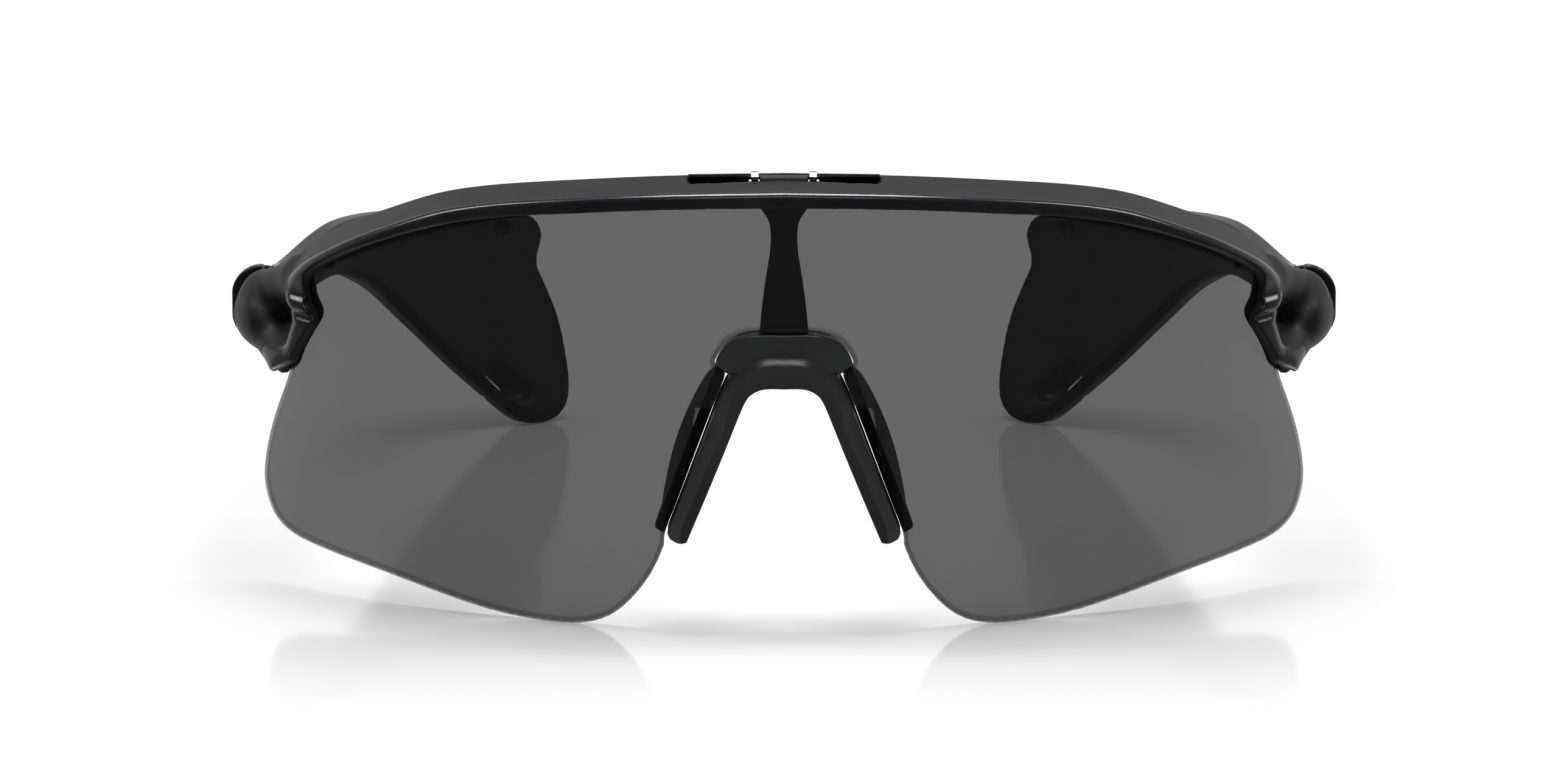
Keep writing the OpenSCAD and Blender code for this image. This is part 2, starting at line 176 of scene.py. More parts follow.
def capsule(x, y, z, a, b, ra, rb):
    """A rod with round ends whose radius goes from ra at a to rb at b."""
    ax = [q - p for p, q in zip(a, b)]
    rel = [c - p for c, p in zip((x, y, z), a)]
    t = np.clip(sum(r * s for r, s in zip(rel, ax)) / sum(s * s for s in ax), 0, 1)
    return np.sqrt(sum((r - t * s) ** 2 for r, s in zip(rel, ax))) - (ra + t * (rb - ra))


# ---- meshing ----------------------------------------------------------------
FAR = 1e3                       # the distance written where the surface isn't near
BATCH = 400000                  # points sampled at a time, which bounds the memory
CORNERS = [(dx, dy, dz) for dx in (0, 1) for dy in (0, 1) for dz in (0, 1)]


def sample(field, points):
    return field(points[:, 0], points[:, 1], points[:, 2])


def gradient(field, points, eps=0.02):
    g = np.empty_like(points)
    for i in range(3):
        step = np.zeros(3)
        step[i] = eps
        g[:, i] = (sample(field, points + step) - sample(field, points - step)) / (2 * eps)
    return g


def window(n, c):
    """The part of a table of n points a side that holds corner c of every cell."""
    return tuple(slice(d, size - 1 + d) for d, size in zip(c, n))


def mesh_points(field, lo, hi, h, coarse=4):
    """Vertices and quads of the surface where field is 0, on a grid of step h, moved onto it."""
    lo = np.array(lo, float)
    cells = np.ceil((np.array(hi, float) - lo) / (h * coarse)).astype(int)
    axes = [lo[i] + (np.arange(cells[i]) + 0.5) * h * coarse for i in range(3)]
    mid = np.stack(np.meshgrid(*axes, indexing="ij"), -1).reshape(-1, 3)
    rough = sample(field, mid).reshape(cells)
    active = np.abs(rough) < 1.5 * h * coarse
    n = cells * coarse + 1
    values = np.ones(n, np.float32) * FAR
    for i in range(3):
        rough, active = np.repeat(rough, coarse, i), np.repeat(active, coarse, i)
    values[:-1, :-1, :-1] = np.where(rough < 0, -FAR, FAR)
    need = np.zeros(n, bool)
    for c in CORNERS:
        need[window(n, c)] |= active
    where = np.argwhere(need)
    values[need] = np.concatenate([sample(field, lo + part * h) for part in
                                   np.array_split(where, max(1, len(where) // BATCH))])
    s = values < 0
    count = sum(s[window(n, c)].astype(np.int8) for c in CORNERS)
    mixed = (count > 0) & (count < 8)
    ids = np.full(mixed.shape, -1, np.int64)
    ids[mixed] = np.arange(mixed.sum())
    cell = np.argwhere(mixed)
    total = np.zeros((len(cell), 3))
    hits = np.zeros(len(cell))
    for c in CORNERS:
        for axis in range(3):
            if c[axis]:
                continue
            e = list(c)
            e[axis] = 1
            va = values[cell[:, 0] + c[0], cell[:, 1] + c[1], cell[:, 2] + c[2]]
            vb = values[cell[:, 0] + e[0], cell[:, 1] + e[1], cell[:, 2] + e[2]]
            crossing = (va < 0) != (vb < 0)
            t = np.where(crossing, va / np.where(crossing, va - vb, 1), 0)
            place = np.tile(np.array(c, float), (len(cell), 1))
            place[:, axis] = t
            total += place * crossing[:, None]
            hits += crossing
    points = lo + (cell + total / hits[:, None]) * h
    for _ in range(3):
        f = sample(field, points)
        g = gradient(field, points)
        size = np.maximum((g * g).sum(1), 0.05)
        points -= g * (np.clip(f / size, -0.4 * h, 0.4 * h))[:, None]
    quads = []
    for axis in range(3):
        a, b = [slice(None)] * 3, [slice(None)] * 3
        a[axis], b[axis] = slice(0, -1), slice(1, None)
        flip = s[tuple(a)] != s[tuple(b)]
        edge = np.argwhere(flip)
        other = [i for i in range(3) if i != axis]
        keep = np.all([(edge[:, i] > 0) & (edge[:, i] < n[i] - 1) for i in other], axis=0)
        edge = edge[keep]
        up = s[edge[:, 0], edge[:, 1], edge[:, 2]]
        corners = []
        for du, dv in ((-1, -1), (0, -1), (0, 0), (-1, 0)):
            c = edge.copy()
            c[:, other[0]] += du
            c[:, other[1]] += dv
            corners.append(ids[c[:, 0], c[:, 1], c[:, 2]])
        quad = np.stack(corners, 1)
        turn = up if axis != 1 else ~up
        quad[~turn] = quad[~turn][:, ::-1]
        quads.append(quad)
    return points, np.vstack(quads)


def make_piece(name, field, lo, hi, h, body, node, material, mirror=False, extra=None):
    """Mesh a solid and put it in the frame: it rides on the body and stands for the node. The
    extra function gives each point the measure that its material reads."""
    points, quads = mesh_points(field, lo, hi, h)
    normals = gradient(field, points)
    normals /= np.maximum(np.linalg.norm(normals, axis=1), 1e-9)[:, None]
    values = extra(points) if extra else None
    if mirror:
        points = points * [-1, 1, 1]
        normals = normals * [-1, 1, 1]
        quads = quads[:, ::-1]
    mesh = bpy.data.meshes.new(name)
    mesh.from_pydata(((points - [0, MID_Y, 0]) * MM).tolist(), [], quads.tolist())
    mesh.validate()
    mesh.shade_smooth()
    mesh.normals_split_custom_set_from_vertices(normals.tolist())
    if values is not None:
        mesh.attributes.new(GAUGE, "FLOAT", "POINT").data.foreach_set("value", values)
    mesh.materials.append(material)
    piece = bpy.data.objects.new(name, mesh)
    bpy.context.scene.collection.objects.link(piece)
    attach(piece, body)
    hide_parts(node)
    print(name, len(points), "points")
    return piece


# ---- materials --------------------------------------------------------------
LENS_ALPHA = (0.653, 0.76)      # how much of the light each face of the lens stops: clear part, rim
RIM_BAND = (-0.62, -0.5)        # distance from the lens's edge over which it darkens to the rim
BAND_EDGE = (0.9, 1.2)          # height over the lens's face where the polished band starts
SKIN_GLOSS = 0.4                # the frame's specular level behind that band, as a part of the band's
KNUCKLE_BLACK = (0.008, 0.008, 0.008)
# painted shade: the black put on steel below its lit top, where it would reflect only the dark
PAINTED_SHADE_BLACK = (0.004, 0.004, 0.004)


def node_tree(name):
    material = bpy.data.materials.new(name)
    material.use_nodes = True
    tree = material.node_tree
    return material, tree, tree.nodes["Principled BSDF"]


def noise(tree, coord, scale, detail=2.0, rough=0.5):
    n = tree.nodes.new("ShaderNodeTexNoise")
    n.inputs["Scale"].default_value = scale
    n.inputs["Detail"].default_value = detail
    n.inputs["Roughness"].default_value = rough
    tree.links.new(coord, n.inputs["Vector"])
    return n.outputs["Fac"]


def spread(tree, value, low, high, start=0.35, end=0.65):
    """Bring a value that runs from start to end, as a noise does, to the range from low to high."""
    m = tree.nodes.new("ShaderNodeMapRange")
    m.inputs["From Min"].default_value = start
    m.inputs["From Max"].default_value = end
    m.inputs["To Min"].default_value = low
    m.inputs["To Max"].default_value = high
    tree.links.new(value, m.inputs["Value"])
    return m.outputs["Result"]


def tint(tree, value, first, second):
    """A mix from the first colour, which may also be a socket, to the second."""
    m = tree.nodes.new("ShaderNodeMix")
    m.data_type = "RGBA"
    if isinstance(first, tuple):
        m.inputs[6].default_value = (*first, 1)
    else:
        tree.links.new(first, m.inputs[6])
    m.inputs[7].default_value = (*second, 1)
    tree.links.new(value, m.inputs[0])
    return m.outputs[2]


def gauge(tree):
    """The measure that the piece's extra function gave each point."""
    node = tree.nodes.new("ShaderNodeAttribute")
    node.attribute_name = GAUGE
    return node.outputs["Fac"]


def add(tree, a, b):
    """The sum of two sockets."""
    total = tree.nodes.new("ShaderNodeMath")
    tree.links.new(a, total.inputs[0])
    tree.links.new(b, total.inputs[1])
    return total.outputs[0]


def split(tree, coord):
    """The X, Y and Z of a coordinate."""
    parts = tree.nodes.new("ShaderNodeSeparateXYZ")
    tree.links.new(coord, parts.inputs["Vector"])
    return parts.outputs


def bumped(tree, shader, height, strength, distance):
    """Raise the surface by a height, the distance in metres at its full strength."""
    bump = tree.nodes.new("ShaderNodeBump")
    bump.inputs["Strength"].default_value = strength
    bump.inputs["Distance"].default_value = distance
    tree.links.new(height, bump.inputs["Height"])
    tree.links.new(bump.outputs["Normal"], shader.inputs["Normal"])


def moulded(name, dark, light, rough, grain, depth, specular=0.5, sheen=0.0, band=None,
            black_over=None):
    """Moulded plastic or rubber: a fine even grain, slow changes of tone and of gloss.
    With a band, the roughness falls to that value on the polished front band, which reflects
    more. With black_over, the piece is black over that height."""
    material, tree, shader = node_tree(name)
    coord = tree.nodes.new("ShaderNodeTexCoord").outputs["Object"]
    fine = noise(tree, coord, grain, 3.0, 0.6)
    slow = noise(tree, coord, 90.0, 2.0)
    colour = tint(tree, spread(tree, slow, 0, 1), dark, light)
    if black_over:
        upper = spread(tree, gauge(tree), 0, 1, black_over - 0.1, black_over + 0.1)
        colour = tint(tree, upper, colour, KNUCKLE_BLACK)
    tree.links.new(colour, shader.inputs["Base Color"])
    gloss = spread(tree, fine, rough - 0.05, rough + 0.05)
    shader.inputs["Specular IOR Level"].default_value = specular
    if band:
        place = gauge(tree)
        gloss = add(tree, gloss, spread(tree, place, 0, band - rough, *BAND_EDGE))
        level = spread(tree, place, SKIN_GLOSS * specular, specular, *BAND_EDGE)
        tree.links.new(level, shader.inputs["Specular IOR Level"])
    tree.links.new(gloss, shader.inputs["Roughness"])
    bumped(tree, shader, fine, 0.35, depth)
    if sheen:
        shader.inputs["Sheen Weight"].default_value = sheen
        shader.inputs["Sheen Roughness"].default_value = 0.5
    return material


def steel(name, colour, rough, stretch, bright_from=None):
    """Turned or brushed steel: fine scratches drawn out along the given directions. With
    bright_from, it is painted black below that part of its height, as painted shade and painted dark
    reflection, so that only its top stays lit."""
    material, tree, shader = node_tree(name)
    coord = tree.nodes.new("ShaderNodeTexCoord").outputs["Object"]
    mapping = tree.nodes.new("ShaderNodeMapping")
    mapping.inputs["Scale"].default_value = stretch
    tree.links.new(coord, mapping.inputs["Vector"])
    lines = noise(tree, mapping.outputs["Vector"], 900.0, 4.0, 0.6)
    stain = noise(tree, coord, 400.0, 2.0)
    darker = tuple(c * 0.75 for c in colour)
    shown = tint(tree, spread(tree, stain, 0, 1), darker, colour)
    if bright_from:
        height = split(tree, tree.nodes["Texture Coordinate"].outputs["Generated"])["Z"]
        # painted shade and painted dark reflection: black below bright_from, bright steel only above it
        lower = spread(tree, height, 1, 0, bright_from - 0.02, bright_from + 0.02)
        shown = tint(tree, lower, shown, PAINTED_SHADE_BLACK)
    tree.links.new(shown, shader.inputs["Base Color"])
    tree.links.new(spread(tree, lines, rough - 0.08, rough + 0.12), shader.inputs["Roughness"])
    bumped(tree, shader, lines, 0.3, 0.00002)
    shader.inputs["Metallic"].default_value = 1.0
    return material


def lens_material():
    """Grey tinted polycarbonate: see-through, polished, darker where the rim is bevelled."""
    material, tree, shader = node_tree("lens_tint")
    shader.inputs["Base Color"].default_value = (0.012, 0.012, 0.0125, 1)
    shader.inputs["IOR"].default_value = 1.5
    coord = tree.nodes.new("ShaderNodeTexCoord").outputs["Object"]
    smear = noise(tree, coord, 35.0, 3.0)
    tree.links.new(spread(tree, smear, 0.02, 0.045), shader.inputs["Roughness"])
    tree.links.new(spread(tree, gauge(tree), *LENS_ALPHA, *RIM_BAND), shader.inputs["Alpha"])
    return material


FRAME_BLACK = moulded("frame_black", (0.009, 0.009, 0.01), (0.013, 0.013, 0.014),
                      rough=0.5, grain=5200, depth=0.000012, band=0.2)
TEMPLE_BLACK = moulded("temple_black", (0.007, 0.007, 0.008), (0.011, 0.011, 0.012),
                       rough=0.4, grain=5200, depth=0.000012, specular=0.4)
GRIP_RUBBER = moulded("grip_rubber", (0.008, 0.008, 0.008), (0.012, 0.012, 0.012),
                      rough=0.62, grain=4200, depth=0.00002, specular=0.3, sheen=0.03)
PAD_RUBBER = moulded("pad_rubber", (0.004, 0.004, 0.004), (0.008, 0.008, 0.008),
                     rough=0.6, grain=4200, depth=0.00002, specular=0.25, sheen=0.03)
# painted light: the strut's own dark grey is made lighter here, standing in for the light it lacks behind
# the lens; its knuckle above black_over stays black
STRUT_GREY_PAINTED_LIGHTER = moulded("strut_satin", (0.19, 0.173, 0.181), (0.22, 0.203, 0.211),
                      rough=0.4, grain=5200, depth=0.00001, specular=0.15, black_over=56.5)
BRIDGE_GREY = moulded("bridge_grey", (0.024, 0.024, 0.025), (0.032, 0.032, 0.033),
                      rough=0.34, grain=5200, depth=0.000012)
DISC_GREY = moulded("disc_grey", (0.05, 0.05, 0.052), (0.07, 0.07, 0.072),
                    rough=0.38, grain=4000, depth=0.000012)
# painted shade: this steel is painted black below 0.575 of its height, standing in for the dark that it
# reflects
BRACKET_STEEL = steel("bracket_steel", (0.4, 0.405, 0.42), 0.42, (0.08, 1, 1), 0.575)
HINGE_STEEL = steel("hinge_steel", (0.4, 0.4, 0.42), 0.34, (1, 1, 0.1))
LENS_TINT = lens_material()

# ---- the lens's own shape ---------------------------------------------------
LENS_R, LENS_RV = 90.0, 250.0   # the face's radius seen from above, and seen from the side
LENS_ZC, LENS_T = 30.0, 2.0     # the height at which it stands upright, and its thickness
RIM_BEVEL, RIM_SLOPE = 0.5, 0.8     # the polished bevel's width on the face, and how fast it falls
RIM_SCALE = 0.78                # what keeps distances to the bevel true


def face(x, y, z):
    """How far a point is in front of the lens's outer face."""
    rho = np.hypot(x, y - LENS_R)
    return np.hypot(rho - (LENS_R - LENS_RV), z - LENS_ZC) - LENS_RV


lens_top = [[0, 56.1], [20, 55.1], [36, 52.9], [52, 47.9], [60, 43.9], [63.4, 41]]
lens_side = [[63.9, 34], [64.7, 28.8], [66.45, 23.8], [68, 18.2], [68.5, 14],
             [68.2, 11.8], [67.2, 9.2], [65.4, 7.5], [62.6, 6.4]]
lens_foot = [[53, 4.4], [44.6, 2.4], [36.4, 0.65], [30.4, 0.07], [26.4, 0.14],
             [22.8, 1.2], [19.8, 3.6], [17, 7.4], [15.3, 11.2]]
nose_cut = [[15.3, 11.2], [15.1, 13.2], [10.2, 26.3], [8.3, 31.4], [7.5, 33.5]]
# the cut widens above its sides, where the bridge's cover fills it
cover_cut = [[8.8, 34.9], [8.75, 35.5], [7.87, 37.06], [6.8, 38.14], [5.13, 38.8], [3.45, 39], [0, 39]]
lens_edge = Outline(mirrored(np.vstack([curve(lens_top + lens_side + lens_foot), curve(nose_cut),
                                        curve(cover_cut)])))
outer_edge = Outline(mirrored(np.vstack([curve(lens_top + lens_side + lens_foot), [[12, 30], [0, 30]]])))


def lens_solid(x, y, z):
    d = face(x, y, z)
    e = lens_edge(np.abs(x), z)
    # the polished bevel runs along the outer rim only, so that the nose cut stays tight
    bevel = (outer_edge(np.abs(x), z) + RIM_BEVEL + RIM_SLOPE * d) * RIM_SCALE
    return meet(meet(meet(d, e, 0.12), -LENS_T - d, 0.3), bevel - 0.02, 0.06)


make_piece("lens_shield", lens_solid, (-70, -1, -1), (70, 45, 58), 0.42, "front", "lens",
           LENS_TINT, extra=lambda p: lens_edge(np.abs(p[:, 0]), p[:, 2]))

# ---- front frame ------------------------------------------------------------
PROUD, DEPTH = 1.9, 8.5         # the bar's front over the lens's face, and its back behind it
RISE = math.tan(math.radians(6.5))  # the outline climbs by this much for each millimetre back
LIP_PROUD, LIP_BACK = 0.35, 0.42    # the front lip's own height over the lens, and how far it stands back
BUTT_Y = 43.0                   # where the frame ends against the temples
brow_top = [[0, 57.2], [10, 56.9], [20, 56.15], [30, 54.9], [36, 53.9], [40, 53], [44, 51.8],
            [48, 50.1], [52.2, 48], [55.5, 46.2], [58.8, 44.05], [62.7, 41], [64.6, 38.4], [64.95, 36.6],
            [64.5, 35], [64, 33.6], [64.3, 32.4], [65.3, 29.3], [66.4, 26.3]]
cheek = [[65.9, 25.2], [64.5, 25.6], [63.2, 27.4], [61.4, 31.1], [60.15, 33.4], [60, 34.7], [60.8, 36.1],
         [61.25, 37.6], [61, 39.2]]
brow_foot = [[59.3, 41], [55.6, 43.6], [52.3, 45.5], [48, 47.6], [44, 49.2],
             [36, 51.35], [28, 52.65], [20, 53.7], [10, 54.45], [0, 54.7]]
brow_edge = Outline(mirrored(curve(brow_top + cheek + brow_foot)))
# the opening under the brow, with the line of the chin's inner side carried on past its tip
open_side = curve(cheek[2:] + brow_foot)
open_edge = Outline(mirrored(np.vstack([open_side[::-1], [[74, 19.8], [74, 8], [0, 8]]])))
# the pocket in the brow's top: its walls, its half width at z 58, its floor, and how far its ends
# come in over the height given
POCKET_Y = (5.6, 9.1)
POCKET_HALF_W, POCKET_FLOOR, POCKET_SLANT, SLANT_OVER = 12.6, 56.5, 1.1, 1.5
POCKET_TOP = 58


def bevel_width(x):
    """The width of the bevel under the polished band, which grows towards the cheek."""
    return 0.18 + 0.5 * ramp((x - 12) / 40) + 0.4 * ramp((x - 52) / 8)


# the endpiece's masses: a centre and radii, or two ends and the radius at each
BULB = ((68.85, 43.0, 34.9), (3.8, 10.5, 4.7))
NECK = ((63.2, 31.5, 40.2), (68.1, 39.6, 37.5), 3.0, 3.0)
CHIN = ((65.6, 27.4, 30.35), (68.5, 39.5, 34.3), 1.65, 3.3)
SIDE_LOSS, SIDE_X = 2.0, 57         # how much shallower the bar is at that distance from the middle
SKIN_ROUND, LIP_ROUND = 0.7, 0.16   # edges above and below the polished band
REAR_LIP, REAR_END_X, REAR_END_Z = 3.2, 63.6, 40.5      # the cheek's rear lip ends that far back
STRUT_ROOM = ((-3.5, 3.35, 50), (3.5, POCKET_Y[1], 57.15))
# each ledge at the cheek: the height where it starts to sink in, over what height, the height
# where it is out again, over what height, and its depth
UPPER_LEDGE = (40.2, 3.0, 37.3, 1.4, 0.75)
LOWER_LEDGE = (35.6, 1.0, 34.6, 1.0, 0.5)


def ledge(z0, top, top_over, end, end_over, deep):
    """How deep one ledge's step is at a height."""
    return deep * ramp((top - z0) / top_over) * (1 - ramp((end - z0) / end_over))


def ledges(ax, z0):
    """How far the front skin is let in at the cheek, which leaves two ledges that face up."""
    return (ledge(z0, *UPPER_LEDGE) + ledge(z0, *LOWER_LEDGE)) * ramp((ax - 56) / 4)


def front_frame(x, y, z):
    ax = np.abs(x)
    z0 = z - RISE * y
    d = face(x, y, z)
    e = brow_edge(ax, z0)
    # the bar gets shallower and rounder towards the sides
    bar = meet(e, -(DEPTH - SIDE_LOSS * (ax / SIDE_X) ** 2) - d, 1.4)
    bulb = meet(ellipsoid(ax, y, z, *BULB), y - BUTT_Y, 0.5)
    neck = capsule(ax, y, z, *NECK)
    chin = capsule(ax, y, z, *CHIN)
    mass = join(join(bar, join(bulb, neck, 1.6), 2.2), chin, 1.8)
    # front skin: a band that stands proud, then a bevel down to the lens
    lip = open_edge(ax, z0) - LIP_BACK
    w = bevel_width(ax)
    drop = PROUD - LIP_PROUD
    bevel = ((d - LIP_PROUD) * w - lip * drop) / np.hypot(w, drop)
    body = meet(meet(mass, d - PROUD + ledges(ax, z0), SKIN_ROUND), bevel, LIP_ROUND)
    # the front lip ends short of the rear one, and the rear one is thin at the cheek
    body = cut(body, np.maximum(-(d + LENS_T / 2), lip), 0.1)
    behind = np.maximum(np.maximum(d + REAR_LIP, ax - REAR_END_X), z0 - REAR_END_Z)
    body = cut(body, behind, 0.7)
    body = meet(body, y - BUTT_Y, 0.35)
    groove = np.maximum(np.abs(d + LENS_T / 2) - LENS_T / 2 - 0.1, lens_edge(ax, z) - 0.1)
    body = cut(body, groove, 0.05)
    # the pocket's ends slant in towards its floor
    slanted = (ax - POCKET_HALF_W + POCKET_SLANT * (POCKET_TOP - z) / SLANT_OVER) * 0.8
    walls = np.abs(y - sum(POCKET_Y) / 2) - (POCKET_Y[1] - POCKET_Y[0]) / 2
    recess = np.maximum(np.maximum(walls, POCKET_FLOOR - z), slanted)
    body = cut(body, recess, 0.12)
    return cut(body, block(x, y, z, *STRUT_ROOM), 0.08)


make_piece("front_shell", front_frame, (-75, -3, 24), (75, 44, 60), 0.32, "front", "front_frame",
           FRAME_BLACK, extra=lambda p: face(p[:, 0], p[:, 1], p[:, 2]))

# ---- temples ----------------------------------------------------------------
# the middle of the temple's wall seen from above, and the wall's thickness at each of its points
plan = [[69.4, 42], [69.5, 52], [69.7, 64], [69.3, 78], [68, 92], [65.2, 106], [60.6, 120],
        [54.2, 133], [46.2, 144], [37.5, 152.5], [28, 159]]
thick = [8, 7, 5, 4, 3.6, 3.2, 3, 2.8, 2.6, 2.4, 2.4]
PLAN_STEPS = 24
# the fin's foot leans in by this much below that height, more and more from one point to the other
FIN_LEAN, LEAN_Z, LEAN_FROM, LEAN_TO = 9.0, 28.0, 5.0, 9.0
GRIP_T = 0.8


class Wall:
    """For a point seen from above: its place along the temple's plan and its distance outwards."""
    def __init__(self):
        self.thick = curve([[i, t] for i, t in enumerate(thick)], PLAN_STEPS)[:, 1]
        self.step = 0.4
        self.lo = np.array([18.0, 36.0])
        u, v = np.meshgrid(np.arange(18, 84, self.step), np.arange(36, 170, self.step), indexing="ij")
        d, place, side, _ = nearest(curve(plan, PLAN_STEPS), u, v, False)
        self.off = np.where(side > 0, d, -d)
        self.place = place / PLAN_STEPS

    def __call__(self, x, y):
        place = grid_read(self.place, self.lo, self.step, x, y)
        return place, grid_read(self.off, self.lo, self.step, x, y)

    def thickness(self, place):
        return np.interp(place * PLAN_STEPS, np.arange(len(self.thick)), self.thick)


def lean(place):
    """How far the wall leans in for each millimetre down, which grows along the fin."""
    return FIN_LEAN / LEAN_Z * ramp((place - LEAN_FROM) / (LEAN_TO - LEAN_FROM))


wall = Wall()
# the outlines of the temple and of its grip are drawn on an upright plane through this point, at
# this angle to the glasses' own middle plane
FIN_O, FIN_AZ = (52, 132), math.radians(35)
temple_top = [[-88, 40.6], [-82, 40.5], [-75.6, 38.9], [-66, 36.2], [-54, 34.1], [-42, 33.7],
              [-30.8, 34.6], [-23.9, 35], [-17.9, 34.8], [-11.6, 34.3], [0, 33], [12, 31.4], [20, 30.3]]
fin_back = [[23.6, 29.6], [25.4, 28.2], [25.3, 26], [24, 24], [23.3, 22.4], [23.5, 20.8],
            [24.3, 16.8], [24.5, 13.4], [24.2, 9.6], [23.4, 5], [21.8, 2], [19.6, 0.5]]
fin_foot = [[17.6, 0.04], [15.4, 0.12], [13.4, 0.9], [9.8, 4.3], [5, 8.9], [-0.4, 14], [-7.1, 19.5],
            [-13.1, 23.5], [-20.6, 26.6], [-25.4, 27.8], [-30.8, 28.2], [-42, 28.3], [-54, 28.7],
            [-66, 29.2], [-76, 29.7], [-88, 29.9]]
side_edge = Outline(curve(temple_top + fin_back + fin_foot, 8), 0.3)
grip_view = [[-30, 33.4], [-23.9, 34], [-11.6, 33.4], [0, 32.1], [12, 30.5], [20, 29.4],
             [23.4, 28.8], [24.7, 27.6], [24.5, 26], [23.2, 24], [22.5, 22.4], [22.7, 20.6],
             [23.5, 16.6], [23.7, 13.2], [23.4, 9.6], [22.6, 5.4], [21.2, 2.8], [19.2, 1.4],
             [17, 1.1], [14.4, 1.9], [10.6, 5.1], [5.6, 9.8], [0.2, 14.9], [-6.6, 20.5],
             [-12.6, 24.4], [-20.2, 27.5], [-25.4, 28.7], [-29.4, 29.2], [-31, 31.2]]
grip_edge = Outline(curve(grip_view, 8, True), 0.3)
# the strap slot and the cord hole: their middles in Y and Z, and their sizes
SLOT_AT, SLOT_TILT, SLOT_LEN, SLOT_W = (138.9, 6.6), math.radians(65), 5.6, 2.1
HOLE_AT, HOLE_R = (146.3, 28.0), 0.75
DISC_AT, DISC_R = (73.0, 50.0, 34.3), 2.5      # the hinge cap's middle and radius
DISC_HALF_T, DISC_GAP = 0.45, 0.05
# the outer edges are rounder near the hinge, and lose that roundness over the length given
ROUND_AT_HINGE, ROUND_LOSS, LOSS_FROM, LOSS_OVER = 4.4, 3.5, 50, 22
BUTT_ROOM = ((60, 30, 20), (80, BUTT_Y + 0.3, 50))      # where the frame's bulb ends
HINGE_ROOM = ((55, 30, 20), (69.2, 49.55, 50))          # where the hinge halves lie


def slot_distance(y, z):
    """Distance from the strap slot's wall, seen from the side. The slot runs along X."""
    back, up = y - SLOT_AT[0], z - SLOT_AT[1]
    along = back * math.cos(SLOT_TILT) - up * math.sin(SLOT_TILT)
    across = back * math.sin(SLOT_TILT) + up * math.cos(SLOT_TILT)
    half = (SLOT_LEN - SLOT_W) / 2
    return np.hypot(np.maximum(np.abs(along) - half, 0), across) - SLOT_W / 2


def hole_distance(y, z):
    """Distance from the cord hole's wall, seen from the side."""
    return np.hypot(y - HOLE_AT[0], z - HOLE_AT[1]) - HOLE_R


def disc_distance(y, z):
    """Distance from the hinge cap's rim, seen from the side."""
    return np.hypot(y - DISC_AT[1], z - DISC_AT[2]) - DISC_R


def side_place(x, y):
    """A point's place along the plane on which the temple's outline is drawn."""
    return -math.sin(FIN_AZ) * (x - FIN_O[0]) + math.cos(FIN_AZ) * (y - FIN_O[1])


def wall_depth(place, off, z):
    """Distance outwards from the middle of the wall, which leans."""
    return (off + lean(place) * (LEAN_Z - z)) / np.sqrt(1 + lean(place) ** 2)


def temple(x, y, z):
    place, off = wall(x, y)
    n = wall_depth(place, off, z)
    half = wall.thickness(place) / 2
    s = side_edge(side_place(x, y), z)
    r_out = ROUND_AT_HINGE - ROUND_LOSS * ramp((y - LOSS_FROM) / LOSS_OVER)
    body = meet(meet(n - half, s, r_out), -half - n, 0.5)
    body = cut(body, block(x, y, z, *BUTT_ROOM), 0.35)
    body = cut(body, block(x, y, z, *HINGE_ROOM), 0.15)
    flare = np.maximum(n - half + 0.7, 0)
    body = cut(body, slot_distance(y, z) - 0.8 * flare, 0.12)
    body = cut(body, hole_distance(y, z) - 0.6 * flare, 0.1)
    seat = np.maximum(disc_distance(y, z) - DISC_GAP, DISC_AT[0] - DISC_HALF_T - x)
    return cut(body, seat, 0.12)


def grip(x, y, z):
    place, off = wall(x, y)
    n = wall_depth(place, off, z)
    half = wall.thickness(place) / 2
    s = grip_edge(side_place(x, y), z)
    depth = -half - n
    body = meet(meet(np.abs(depth - GRIP_T / 2) - GRIP_T / 2, s, 0.35), depth - GRIP_T, 0.3)
    body = cut(body, slot_distance(y, z) - 0.25 - 0.7 * depth, 0.15)
    return cut(body, hole_distance(y, z) - 0.1 - 0.55 * depth, 0.12)


def cap(x, y, z):
    return meet(disc_distance(y, z), np.abs(x - DISC_AT[0]) - DISC_HALF_T, 0.18)


for side, flip in (("left", False), ("right", True)):
    make_piece(f"temple_arm_{side}", temple, (24, 42, -0.5), (74.5, 162, 43), 0.42, f"temple_{side}",
               f"temple_{side}", TEMPLE_BLACK, flip)
    pad = make_piece(f"temple_pad_{side}", grip, (24, 98, 0), (66, 160, 35), 0.34, f"temple_{side}",
                     f"temple_grip_{side}", GRIP_RUBBER, flip)
    make_piece(f"hinge_cap_{side}", cap, (72, 46, 31), (74.2, 54, 38), 0.12, f"temple_{side}",
               f"temple_disc_{side}", DISC_GREY, flip)

# ---- nose bridge ------------------------------------------------------------
STRUT_GAP, STRUT_T = 0.25, 2.0      # the strut's gap behind the lens, and its thickness
STRUT_FOOT, KNUCKLE_TOP = 38.45, 58.25
KNUCKLE_R, KNUCKLE_HALF_W = 1.2, 3.1    # the part of the strut that turns on the pin
strut_half = [[3.1, 57], [3.1, 54.9], [2.1, 53.3], [1.72, 51.7], [1.7, 49.9], [1.95, 47.8], [2.4, 45],
              [2.86, 41.4], [3.15, 38.3]]
strut_edge = Outline(mirrored(curve(strut_half)), 0.15, 5)
PIVOT = (6.9, 57.3)                 # the swing's axis, in Y and Z
